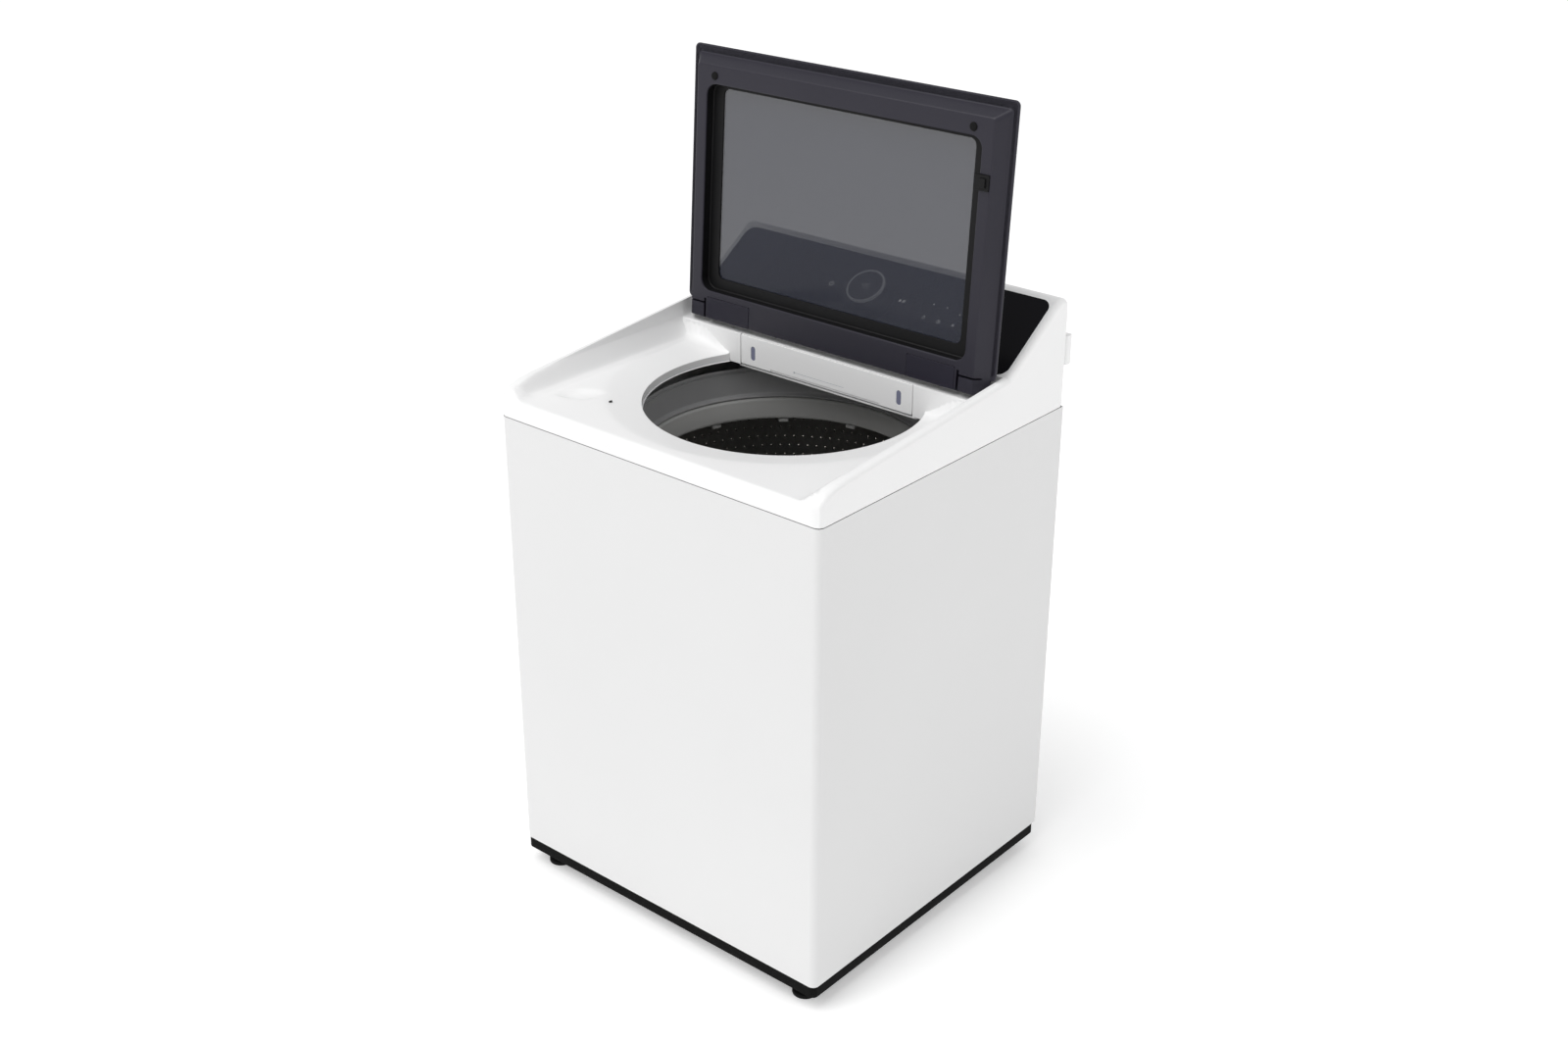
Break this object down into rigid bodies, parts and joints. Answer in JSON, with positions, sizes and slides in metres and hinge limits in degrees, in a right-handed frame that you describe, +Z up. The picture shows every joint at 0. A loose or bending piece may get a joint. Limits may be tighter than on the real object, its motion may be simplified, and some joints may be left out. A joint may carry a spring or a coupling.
{
  "type": "top load washing machine",
  "caption": "Top load washing machine: white cabinet, glass lid on a rear hinge, spinning basket on a sprung tub, pulsator, dispenser drawer, rear control dial.",
  "frame": {"origin": "floor level under the centre of the overall footprint, back hook included", "axes": "+X to the right seen from the front, +Y to the back, +Z up"},
  "size_m": [0.686, 0.665, 1.4272],
  "materials": {
    "white_paint": "smooth satin enamel",
    "white_plastic": "smooth, soft gloss",
    "black_plastic": "fine matt",
    "satin_black": "satin, fine grain",
    "black_gloss": "polished",
    "tinted_glass": "polished, grey tint",
    "light_grey": "satin",
    "zinc_steel": "zinc coated",
    "stainless": "brushed",
    "bright_steel": "bright",
    "cast_aluminium": "as cast",
    "motor_winding": "lacquered wire",
    "tub_grey": "moulded, fine matt",
    "pulsator_grey": "smooth",
    "black_rubber": "matt",
    "board_green": "lacquered"
  },
  "bodies": {
    "cabinet": {"cabinet_shell": "white_paint", "base_frame": "black_plastic", "rear_panel": "zinc_steel", "top_cover": "white_plastic", "control_glass": "black_gloss", "console_back": "white_plastic", "control_board": "board_green", "inlet_valve_hot": "white_plastic", "inlet_valve_cold": "white_plastic", "cord_gland": "black_plastic", "pressure_sensor": "white_plastic", "drain_outlet": "black_plastic", "drain_hose": "black_rubber", "drain_pump": "white_plastic", "pump_cap": "black_plastic", "dispenser_housing": "white_plastic", "lid_lock": "black_plastic", "hinge_bracket_left": "black_plastic", "hinge_bracket_right": "black_plastic", "sump_bellows": "black_rubber", "suspension_rod_front_left": "zinc_steel", "suspension_spring_front_left": "bright_steel", "suspension_rod_front_right": "zinc_steel", "suspension_spring_front_right": "bright_steel", "suspension_rod_rear_left": "zinc_steel", "suspension_spring_rear_left": "bright_steel", "suspension_rod_rear_right": "zinc_steel", "suspension_spring_rear_right": "bright_steel"},
    "lid": {"lid_frame": "satin_black", "lid_glass": "tinted_glass", "lid_latch": "black_plastic", "lid_bumper_left": "black_rubber", "lid_bumper_right": "black_rubber", "hinge_cover_left": "satin_black", "hinge_cover_right": "satin_black", "hinge_pin_left": "bright_steel", "hinge_pin_right": "bright_steel"},
    "dial": {"dial_knob": "black_gloss", "dial_ring": "light_grey"},
    "drawer": {"drawer_front": "white_plastic", "drawer_tray": "white_plastic", "detergent_cap": "light_grey", "softener_cap": "light_grey"},
    "tub": {"outer_tub": "tub_grey", "tub_cover": "tub_grey", "bearing_housing": "cast_aluminium", "stator": "motor_winding"},
    "basket": {"basket_drum": "stainless", "balance_ring": "tub_grey", "basket_hub": "cast_aluminium", "spin_tube": "bright_steel"},
    "clutch": {"clutch_coupler": "black_plastic"},
    "agitation": {"pulsator": "pulsator_grey", "drive_shaft": "bright_steel", "motor_rotor": "zinc_steel"},
    "impeller": {"pump_impeller": "white_plastic"},
    "foot_front_left": {"foot_front_left": "black_rubber"},
    "foot_front_right": {"foot_front_right": "black_rubber"},
    "foot_rear_left": {"foot_rear_left": "black_rubber"},
    "foot_rear_right": {"foot_rear_right": "black_rubber"}
  },
  "joints": [
    {"name": "lid_hinge", "type": "hinge", "parent": "cabinet", "child": "lid", "pos_m": [0, 0.1177, 0.9784], "axis": [1, 0, 0], "range_deg": [0, 98.6]},
    {"name": "dial_turn", "type": "hinge", "parent": "cabinet", "child": "dial", "pos_m": [0, 0.21922, 1.02937], "axis": [0, -0.5687, 0.8225], "continuous": true},
    {"name": "drawer_slide", "type": "slide", "parent": "cabinet", "child": "drawer", "axis": [0, -1, 0], "range_m": [0, 0.15]},
    {"name": "tub_travel", "type": "slide", "parent": "cabinet", "child": "tub", "axis": [0, 0, 1], "range_m": [-0.02, 0.01], "stiffness_N_per_m": 12000, "springref_m": 0.026, "deforming": ["suspension_spring_front_left", "suspension_spring_front_right", "suspension_spring_rear_left", "suspension_spring_rear_right", "sump_bellows"]},
    {"name": "basket_spin", "type": "hinge", "parent": "tub", "child": "basket", "pos_m": [0, -0.0085, 0.5], "axis": [0, 0, 1], "continuous": true},
    {"name": "pulsator_spin", "type": "hinge", "parent": "tub", "child": "agitation", "pos_m": [0, -0.0085, 0.3], "axis": [0, 0, 1], "continuous": true},
    {"name": "clutch_shift", "type": "slide", "parent": "basket", "child": "clutch", "axis": [0, 0, 1], "range_m": [0, 0.004]},
    {"name": "pump_spin", "type": "hinge", "parent": "cabinet", "child": "impeller", "pos_m": [0.196, 0.0975, 0.094], "axis": [0, 1, 0], "continuous": true},
    {"name": "foot_turn_front_left", "type": "hinge", "parent": "cabinet", "child": "foot_front_left", "pos_m": [-0.293, -0.2945, 0.02], "axis": [0, 0, 1], "continuous": true},
    {"name": "foot_turn_front_right", "type": "hinge", "parent": "cabinet", "child": "foot_front_right", "pos_m": [0.293, -0.2945, 0.02], "axis": [0, 0, 1], "continuous": true},
    {"name": "foot_turn_rear_left", "type": "hinge", "parent": "cabinet", "child": "foot_rear_left", "pos_m": [-0.293, 0.2775, 0.02], "axis": [0, 0, 1], "continuous": true},
    {"name": "foot_turn_rear_right", "type": "hinge", "parent": "cabinet", "child": "foot_rear_right", "pos_m": [0.293, 0.2775, 0.02], "axis": [0, 0, 1], "continuous": true}
  ]
}
